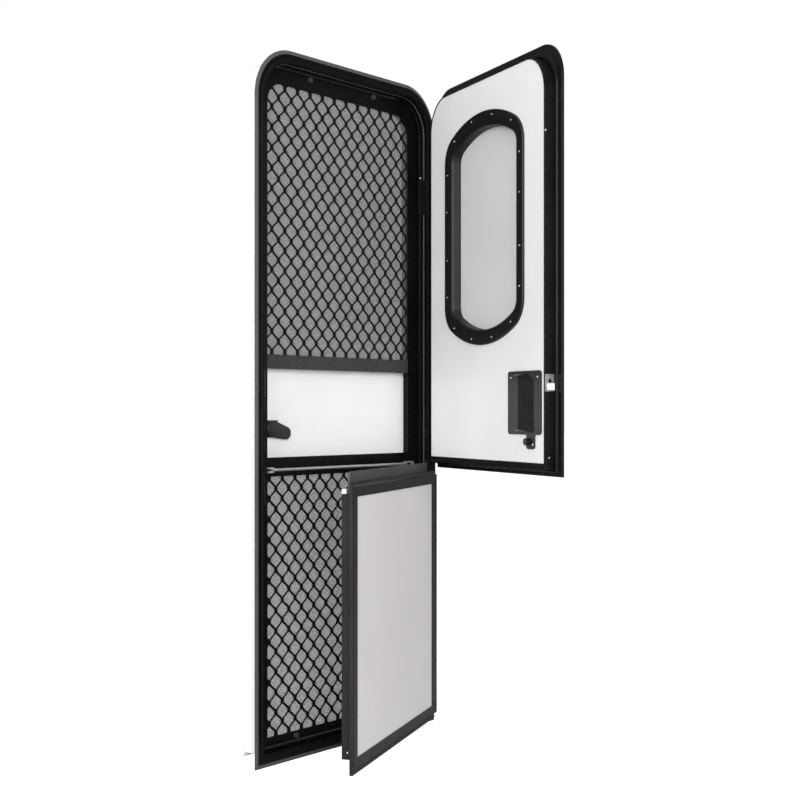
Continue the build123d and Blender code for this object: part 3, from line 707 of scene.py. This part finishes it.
def frosted_acrylic(name, tints, gloss):
    """Milky acrylic with a fine frost."""
    material, tree, shader, place = new_finish(name)
    frost = speckle(tree, place, acrylic_frost_scale)
    colour = tint_between(tree, speckle(tree, place, sheet_cloud_scale), *tints)
    tree.links.new(colour, shader.inputs["Base Color"])
    tree.links.new(number_between(tree, frost, *gloss), shader.inputs["Roughness"])
    set_bump(tree, shader, frost, acrylic_frost_height)
    shader.inputs["Transmission Weight"].default_value = acrylic_clear
    shader.inputs["IOR"].default_value = acrylic_bend
    return material


def window_ring(middle, inset, y):
    """The trim's outline drawn in by an inset: straight sides, round corners and crowned ends."""
    corner_x = trim_half - window_corner
    crown_z = trim_tall - window_crown
    corner_z = crown_z + math.sqrt((window_crown - window_corner) ** 2 - corner_x ** 2)
    meeting = math.atan2(corner_z - crown_z, corner_x)
    corner = arc_points((corner_x, corner_z), window_corner - inset, 0.0, meeting, outline_steps)
    crown = arc_points((0.0, crown_z), window_crown - inset, meeting, math.pi / 2, outline_steps)
    quarter = corner + crown[1:]
    top = quarter + [(-x, z) for x, z in reversed(quarter[:-1])]
    ring = top + [(-x, -z) for x, z in top]
    return [(middle.x + x, y, middle.z + z) for x, z in ring]


trim_plastic = moulded_plastic("trim_plastic", moulded_tints, moulded_gloss)
dress(trim_plastic, "window_inner_trim", "window_outer_frame")
dress(frosted_acrylic("pane_acrylic", acrylic_tints, acrylic_gloss), "window_pane")
trim_low, trim_high = shut_box("window_inner_trim", upper_turn)
pane_low, pane_high = shut_box("window_pane", upper_turn)
cover_face = shut_box("window_outer_frame", upper_turn)[0].y
inner_face = shut_box("upper_inner_skin", upper_turn)[1].y
outer_face = shut_box("upper_outer_skin", upper_turn)[0].y
trim_middle = Vector((0, 0, (trim_low.z + trim_high.z) / 2))
trim_tall = (trim_high.z - trim_low.z) / 2
sight = trim_band + trim_slope
sleeve = sight - trim_wall
trim_section = [
    (0.0, inner_face),
    *rounded((0.0, trim_high.y - trim_lip), (0.0, trim_high.y), (trim_lip, trim_high.y)),
    *rounded(
        (trim_band - trim_roll[0], trim_high.y),
        (trim_band, trim_high.y),
        (trim_band, trim_high.y - trim_roll[1]),
    ),
    (sight, pane_high.y),
    (sleeve, pane_high.y),
    (sleeve, inner_face),
]
cover_edge = sight - outer_band
cover_section = [
    (cover_edge, outer_face),
    *rounded(
        (cover_edge, cover_face + outer_lip), (cover_edge, cover_face), (cover_edge + outer_lip, cover_face)
    ),
    *rounded((sight - outer_roll, cover_face), (sight, cover_face), (sight, cover_face + outer_roll)),
    (sight, pane_low.y),
    (sleeve, pane_low.y),
    (sleeve, outer_face),
]
for name, section, node in (
    ("window_trim", trim_section, "window_inner_trim"),
    ("window_cover", cover_section, "window_outer_frame"),
):
    mesh = skinned(name, [[window_ring(trim_middle, inset, y) for inset, y in section]], trim_plastic, True)
    mesh.transform(upper_turn)
    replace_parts(add_piece(name, mesh, "upper_leaf"), node)
screw_half = trim_half - trim_screw_inset
trim_screws = [(side * screw_half, rise) for side in (-1, 1) for rise in side_screw_heights]
trim_screws += [(side * x, end * z) for side in (-1, 1) for end in (-1, 1) for x, z in end_screws]
add_screws(
    "window_screws", [(trim_middle.x + x, trim_high.y, trim_middle.z + z) for x, z in trim_screws],
    (0, 1, 0), "upper_leaf", upper_turn, trim_screw_size,
)


# Lock: a moulded plate with a sloped paddle and a snib on the inside, a plate with a pull and a
# key barrel on the outside. A chromed latch plate is screwed to the leaf's free edge.
lock_tints = ((0.007, 0.0068, 0.007), (0.012, 0.0118, 0.012))
lock_gloss = (0.22, 0.34)
chrome_tints = ((0.28, 0.28, 0.285), (0.42, 0.42, 0.425))
chrome_gloss = (0.4, 0.52)
lock_screw_margin = 0.014
lug_screw_rise = 0.010
lug_screw_inset = 0.036
edge_screws = ((0.042, 0.013), (0.757, 0.004))
edge_screw_size = (0.0024, 0.001)
lock_plastic = moulded_plastic("lock_plastic", lock_tints, lock_gloss)
dress(lock_plastic, "lock_plate", "lock_paddle", "lock_snib", "outside_handle")
latch_chrome = bright_metal("latch_chrome", chrome_tints, chrome_gloss)
dress(latch_chrome, "edge_latch", "strike_plates")
plate_low, plate_high = shut_box("lock_plate", upper_turn)
lock_screws = [
    (plate_low.x + lock_screw_margin, plate_high.z - lock_screw_margin),
    (plate_high.x - lock_screw_margin, plate_high.z - lock_screw_margin),
    (plate_low.x + lug_screw_inset, plate_low.z + lug_screw_rise),
]
add_screws(
    "lock_screws", [(x, plate_high.y, z) for x, z in lock_screws], (0, 1, 0), "upper_leaf", upper_turn
)
core_side = edge_low.x + leaf_overhang
side_screws = [(core_side, edge_high.y - inset, foot_level + rise) for rise, inset in edge_screws]
add_screws("upper_edge_screws", side_screws, (-1, 0, 0), "upper_leaf", upper_turn, edge_screw_size)


# Lower leaf: four straight rails mitred round the same panel. A rubber flap on its top edge
# covers the joint between the leaves, and a white bolt slides in the top of its free edge.
# The rails' black coat is painted a dark grey, paler than the upper leaf's edge: a painted reflection.
rail_reflection_tints = ((0.020, 0.019, 0.0197), (0.026, 0.025, 0.0257))
rail_gloss = (0.3, 0.36)
# The flap's rubber is painted a lighter grey standing in for its sheen: a painted sheen.
flap_sheen_tints = ((0.075, 0.072, 0.074), (0.09, 0.087, 0.089))
flap_gloss = (0.5, 0.56)
bolt_tints = ((0.78, 0.78, 0.78), (0.84, 0.84, 0.84))
rail_coat = powder_coat("rail_coat", rail_reflection_tints, leaf_edge_highlight, rail_gloss)
dress(rail_coat, "lower_bottom_rail", "lower_top_rail", "lower_free_stile", "lower_hinge_stile")
dress(soft_rubber("flap_rubber", flap_sheen_tints, flap_gloss), "weather_flap")
dress(moulded_plastic("bolt_plastic", bolt_tints, lock_gloss), "lower_bolt")
lower_foot = shut_box("lower_bottom_rail", lower_turn)[0].z
foot_rise, foot_inset = edge_screws[0]
foot_screws = [(core_side, edge_high.y - foot_inset, lower_foot + foot_rise)]
add_screws("lower_edge_screws", foot_screws, (-1, 0, 0), "lower_leaf", lower_turn, edge_screw_size)


# Screen door: bent stiles and top with straight rails, coated black; the middle cross rail's coat
# is painted a dark grey as a painted sheen. It hangs behind the leaves on the right jamb and
# carries a plain white hatch panel between its two cross rails.
screen_tints = ((0.003, 0.003, 0.0034), (0.005, 0.005, 0.0055))
screen_gloss = (0.26, 0.34)
# The middle cross rail is painted a dark grey: a painted sheen.
cross_rail_sheen_tints = ((0.038, 0.0365, 0.038), (0.043, 0.0415, 0.043))
screen_coat = powder_coat("screen_coat", screen_tints, frame_edge_highlight, screen_gloss)
dress(screen_coat, "screen_hoop", "screen_bottom_rail", "screen_lock_rail")
dress(powder_coat("cross_rail_coat", cross_rail_sheen_tints, frame_edge_highlight, screen_gloss), "screen_mid_rail")
dress(inner_white, "screen_hatch")


# Grilles: slit aluminium sheet drawn out into diamonds, so the strands zigzag and lie side by
# side in thick upright bonds. They are coated black and end under the screen's lips.
front_strand = 0.0060
back_strand = 0.0046
strand_depth = 0.0030
strand_sides = 8
shortest_strand = 0.002
bond_size = (0.0085, 0.0042, 0.0145)
bond_rise = 0.0030
bond_sides = 6
pitch_x = 0.0433
pitch_z = 0.0467
lower_shift = (-0.0087, -0.0108)
infill_corner = 0.0527
least_speed = 1e-12
grille_tints = ((0.0025, 0.0025, 0.003), (0.0045, 0.0045, 0.005))
grille_gloss = (0.3, 0.4)


def infill_outline(low, high, corner):
    """An infill's outline as a closed ring of points in X and Z."""
    middle = (low.x + high.x) / 2
    half = (high.x - low.x) / 2
    if corner == 0:
        ring = [(-half, low.z), (-half, high.z), (half, high.z), (half, low.z)]
    else:
        ring = arch_points(half, low.z, high.z, corner)
    return [(middle + x, z) for x, z in ring]


def cut_line(ring, start, end):
    """The part of a straight line between two points that lies inside a convex ring."""
    way = (end - start).normalized()
    near, far = 0.0, (end - start).length
    for (x0, z0), (x1, z1) in zip(ring, ring[1:] + ring[:1]):
        inward = Vector((z1 - z0, x0 - x1))
        speed = inward.dot(way)
        room = inward.dot(start - Vector((x0, z0)))
        if abs(speed) > least_speed:
            cross = -room / speed
            if speed > 0:
                near = max(near, cross)
            else:
                far = min(far, cross)
        elif room < 0:
            return None
    if far - near < shortest_strand:
        return None
    return start + way * near, start + way * far


def inside(ring, point):
    """Whether a point lies inside a convex ring."""
    return all(
        (z1 - z0) * (point[0] - x0) + (x0 - x1) * (point[1] - z0) > 0
        for (x0, z0), (x1, z1) in zip(ring, ring[1:] + ring[:1])
    )


def lines_mesh(name, y, **groups):
    """Straight lines at one depth, each group's points flagged by its name; lone points make no line."""
    points, edges, flags = [], [], {}
    for flag, items in groups.items():
        first = len(points)
        for item in items:
            if len(item) == 2:
                edges.append((len(points), len(points) + 1))
            points += [(x, y, z) for x, z in item]
        flags[flag] = range(first, len(points))
    mesh = bpy.data.meshes.new(name)
    mesh.from_pydata(points, edges, [])
    for flag, members in flags.items():
        marks = mesh.attributes.new(flag, "BOOLEAN", "POINT")
        for index in members:
            marks.data[index].value = True
    return mesh


def flagged(rule, base, flag):
    """The part of a base mesh whose points carry a flag."""
    mark = step(rule, "GeometryNodeInputNamedAttribute", Name=flag)
    mark.data_type = "BOOLEAN"
    chosen = step(rule, "GeometryNodeSeparateGeometry", Geometry=base, Selection=mark.outputs[0])
    chosen.domain = "POINT"
    return chosen.outputs[0]


grille_rule, given = start_rule(
    "diamond_grille", "Front Width", "Back Width", "Strand Depth", "Bond Width", "Bond Depth", "Bond Height"
)
grille_parts = []
for flag, width in (("falling", given["Front Width"]), ("rising", given["Back Width"])):
    strand_lines = flagged(grille_rule, given["Base"], flag)
    strand_line = step(grille_rule, "GeometryNodeMeshToCurve", Mesh=strand_lines).outputs[0]
    grille_parts.append(bar_along(grille_rule, strand_line, strand_sides, given["Strand Depth"], width))
bond_rod = step(grille_rule, "GeometryNodeMeshCylinder", Vertices=bond_sides, Radius=0.5, Depth=1.0)
bond_block = step(
    grille_rule, "GeometryNodeTransform",
    Geometry=bond_rod.outputs[0], Rotation=(math.pi / 2, math.pi / 2, 0),
)
bond_scale = step(
    grille_rule, "ShaderNodeCombineXYZ",
    X=given["Bond Width"], Y=given["Bond Depth"], Z=given["Bond Height"],
)
bonds = step(
    grille_rule, "GeometryNodeInstanceOnPoints", Points=flagged(grille_rule, given["Base"], "bonded"),
    Instance=bond_block.outputs[0], Scale=bond_scale.outputs[0],
)
grille_parts.append(bonds.outputs[0])
joined = step(grille_rule, "GeometryNodeJoinGeometry")
for shape in grille_parts:
    grille_rule.links.new(shape, joined.inputs[0])
end_rule(grille_rule, given, joined.outputs[0])
grille_coat = powder_coat("grille_coat", grille_tints, frame_edge_highlight, grille_gloss)
dress(grille_coat, "upper_grille", "lower_grille")
for part, corner, shift in (("upper", infill_corner, (0, 0)), ("lower", 0, lower_shift)):
    low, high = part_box(part + "_insect_mesh")
    grille_low, grille_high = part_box(part + "_grille")
    ring = infill_outline(low, high, corner)
    middle = Vector(((low.x + high.x) / 2, (low.z + high.z) / 2)) + Vector(shift)
    reach = round((high.z - low.z) / pitch_x) + 2
    crossings = [
        middle + Vector((across * pitch_x, along * pitch_z)) / 2
        for across in range(-reach, reach + 1) for along in range(-reach, reach + 1)
        if (across + along) % 2 == 0
    ]
    ways = {"bonded": [(point,) for point in crossings if inside(ring, point)]}
    for flag, slope in (("falling", -1), ("rising", 1)):
        start = Vector((0, slope * bond_rise))
        end = Vector((pitch_x / 2, slope * (pitch_z / 2 - bond_rise)))
        cuts = [cut_line(ring, point + start, point + end) for point in crossings]
        ways[flag] = [cut for cut in cuts if cut]
    grille = grow(
        part + "_diamond_grille", grille_rule,
        lines_mesh(part + "_strands", (grille_low.y + grille_high.y) / 2, **ways),
        "screen_door", "grille_black",
        Front_Width=front_strand, Back_Width=back_strand, Strand_Depth=strand_depth,
        Bond_Width=bond_size[0], Bond_Depth=bond_size[1], Bond_Height=bond_size[2], Finish=grille_coat,
    )
    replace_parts(grille, part + "_grille")


# Insect mesh: coated glass yarn woven into a fine square net, stretched behind each grille and
# held under the screen's lips.
yarn_width = 0.00084
yarn_step = 0.0015
yarn_sides = 4
yarn_tints = ((0.108, 0.101, 0.106), (0.126, 0.119, 0.124))
yarn_gloss = (0.5, 0.65)
yarn_rule, given = start_rule("woven_net", "Yarn Width")
yarn_line = step(yarn_rule, "GeometryNodeMeshToCurve", Mesh=given["Base"]).outputs[0]
end_rule(
    yarn_rule, given,
    bar_along(yarn_rule, yarn_line, yarn_sides, given["Yarn Width"], given["Yarn Width"], False),
)
yarn_coat = soft_rubber("yarn_coat", yarn_tints, yarn_gloss)
dress(yarn_coat, "upper_insect_mesh", "lower_insect_mesh")
for part, corner in (("upper", infill_corner), ("lower", 0)):
    low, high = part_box(part + "_insect_mesh")
    ring = infill_outline(low, high, corner)
    middle = Vector(((low.x + high.x) / 2, (low.z + high.z) / 2))
    cuts = []
    for way, side, span in (((0, 1), (1, 0), high.x - low.x), ((1, 0), (0, 1), high.z - low.z)):
        count = int(span / 2 / yarn_step)
        for index in range(-count, count + 1):
            start = middle + Vector(side) * index * yarn_step
            cut = cut_line(ring, start - Vector(way), start + Vector(way))
            if cut:
                cuts.append(cut)
    net = grow(
        part + "_net", yarn_rule, lines_mesh(part + "_yarns", (low.y + high.y) / 2, woven=cuts),
        "screen_door", "insect_mesh", Yarn_Width=yarn_width, Finish=yarn_coat,
    )
    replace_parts(net, part + "_insect_mesh")


# Screen fittings: a bright push bar screwed through slotted ends, round rubber buffers on the
# top and bottom rails, and a moulded lock case whose lever turns on a boss.
buffer_tints = ((0.03, 0.029, 0.03), (0.045, 0.044, 0.045))
buffer_gloss = (0.4, 0.55)
buffer_reach = 0.03
buffer_round = 0.003
round_sides = 32
bar_end = 0.020
bar_gloss = (0.45, 0.58)
lever_boss = 0.020
lever_tip = 0.015
lever_arm = (0.044, -0.010)
lever_round = 0.0025
lever_cap = 0.013
lever_cap_height = 0.0022


def free_end(tree, place):
    """1 on the push bar's moulded end at the lock stile, 0 on the metal."""
    x = step(tree, "ShaderNodeSeparateXYZ", Vector=place).outputs["X"]
    return reckon(tree, "LESS_THAN", x, bar_left + bar_end)


bar_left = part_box("push_bar")[0].x
dress(bright_metal("bar_metal", steel_tints, bar_gloss, free_end), "push_bar")
buffer_rubber = soft_rubber("buffer_rubber", buffer_tints, buffer_gloss)
dress(buffer_rubber, "screen_bumpers")
dress(lock_plastic, "screen_lock_case", "screen_lever")
lever_low, lever_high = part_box("screen_lever")
pivot = Vector(joint_of["screen_lever_turn"]["pos_m"])


def round_hull(middle, circles, inset, y):
    """The hull of some circles round a middle in X and Z, drawn in by an inset."""
    ring = []
    for index in range(round_sides):
        angle = 2 * math.pi * index / round_sides
        way = Vector((math.cos(angle), math.sin(angle)))
        centre, radius = max(circles, key=lambda circle: Vector(circle[0]).dot(way) + circle[1])
        point = Vector(centre) + way * (radius - inset)
        ring.append((middle.x + point.x, y, middle.z + point.y))
    return ring


def turned_row(middle, circles, back, front, edge):
    """Rings of a plug with one rounded end."""
    section = [(0.0, back), *rounded((0.0, front + edge), (0.0, front), (edge, front))]
    return [round_hull(middle, circles, inset, y) for inset, y in section]


def clusters(node, reach):
    """The boxes of a node's separate small solids."""
    groups = []
    for vertex in frame["nodes"][node].data.vertices:
        near = next((group for group in groups if (vertex.co - group[0]).length < reach), None)
        if near is None:
            groups.append([vertex.co])
        else:
            near.append(vertex.co)
    return [(Vector(map(min, zip(*group))), Vector(map(max, zip(*group)))) for group in groups]


buffer_rows = [
    turned_row((low + high) / 2, [((0, 0), (high.x - low.x) / 2)], high.y, low.y, buffer_round)
    for low, high in clusters("screen_bumpers", buffer_reach)
]
buffer_mesh = skinned("round_buffers", buffer_rows, buffer_rubber)
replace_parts(add_piece("round_buffers", buffer_mesh, "screen_door"), "screen_bumpers")
lever_outline = [((0, 0), lever_boss), (lever_arm, lever_tip)]
cap_back = lever_low.y + lever_cap_height
cap_front = lever_low.y - lever_cap_height
lever_rows = [
    turned_row(pivot, lever_outline, lever_high.y, lever_low.y, lever_round),
    turned_row(pivot, [((0, 0), lever_cap)], cap_back, cap_front, lever_cap_height),
]
lever_mesh = skinned("moulded_lever", lever_rows, lock_plastic)
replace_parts(add_piece("moulded_lever", lever_mesh, "lever"), "screen_lever")


# Studio: a plain pale floor, a white surround and four soft lights. The camera stands to the
# left of the door, level with its middle.
floor_tint = (0.6, 0.6, 0.6)
floor_lift = 0.98
floor_half = 40.0
floor_gap = 0.0005
floor_grain_scale = 30.0
floor_gloss = (0.8, 0.9)
backdrop_strength = 1.0
surround_strength = 0.24
soft_lights = (
    ("left_light", (-5.4, -1.5, 2.2), (0.2, -0.3, 1.1), (3.0, 3.0), 245),
    ("camera_light", (-3.4, -4.9, 2.3), (0.0, 0.0, 0.8), (3.0, 3.0), 235),
    ("right_light", (1.4, -5.2, 1.2), (0.0, 0.0, 0.8), (2.4, 3.0), 45),
    ("top_light", (-0.4, -0.6, 3.8), (0.0, 0.0, 0.8), (3.0, 3.0), 25),
)
camera_place = (-2.5816, -2.2039, 0.7909)
camera_turn = -51.5
camera_lens = 63.48
camera_lift = 0.0131
scene = bpy.context.scene
floor_mesh = bpy.data.meshes.new("floor")
floor_level = cad_box[0].z - floor_gap
floor_corners = [
    (x * floor_half, y * floor_half, floor_level) for x, y in ((-1, -1), (1, -1), (1, 1), (-1, 1))
]
floor_mesh.from_pydata(floor_corners, [], [(0, 1, 2, 3)])
floor_paint, tree, shader, place = new_finish("floor_paint")
floor_cloud = speckle(tree, place, floor_grain_scale)
tree.links.new(number_between(tree, floor_cloud, *floor_gloss), shader.inputs["Roughness"])
shader.inputs["Base Color"].default_value = (*floor_tint, 1)
shader.inputs["Emission Color"].default_value = (1, 1, 1, 1)
seen = step(tree, "ShaderNodeLightPath").outputs["Is Camera Ray"]
tree.links.new(reckon(tree, "MULTIPLY", seen, floor_lift), shader.inputs["Emission Strength"])
floor_mesh.materials.append(floor_paint)
floor = bpy.data.objects.new("floor", floor_mesh)
scene.collection.objects.link(floor)
world = bpy.data.worlds.new("surround")
world.use_nodes = True
seen = step(world.node_tree, "ShaderNodeLightPath").outputs["Is Camera Ray"]
strength = number_between(world.node_tree, seen, surround_strength, backdrop_strength, (0.0, 1.0))
surround = world.node_tree.nodes["Background"]
surround.inputs["Color"].default_value = (1, 1, 1, 1)
world.node_tree.links.new(strength, surround.inputs["Strength"])
scene.world = world
scene.view_settings.view_transform = "Standard"
for name, spot, aim, size, power in soft_lights:
    lamp = bpy.data.lights.new(name, "AREA")
    lamp.shape = "RECTANGLE"
    lamp.size, lamp.size_y = size
    lamp.energy = power
    light = bpy.data.objects.new(name, lamp)
    light.location = spot
    light.rotation_euler = (Vector(aim) - Vector(spot)).to_track_quat("-Z", "Y").to_euler()
    scene.collection.objects.link(light)
camera_data = bpy.data.cameras.new("camera")
camera_data.lens = camera_lens
camera_data.shift_y = camera_lift
camera = bpy.data.objects.new("camera", camera_data)
camera.location = camera_place
camera.rotation_euler = (math.pi / 2, 0, math.radians(camera_turn))
scene.collection.objects.link(camera)
scene.camera = camera
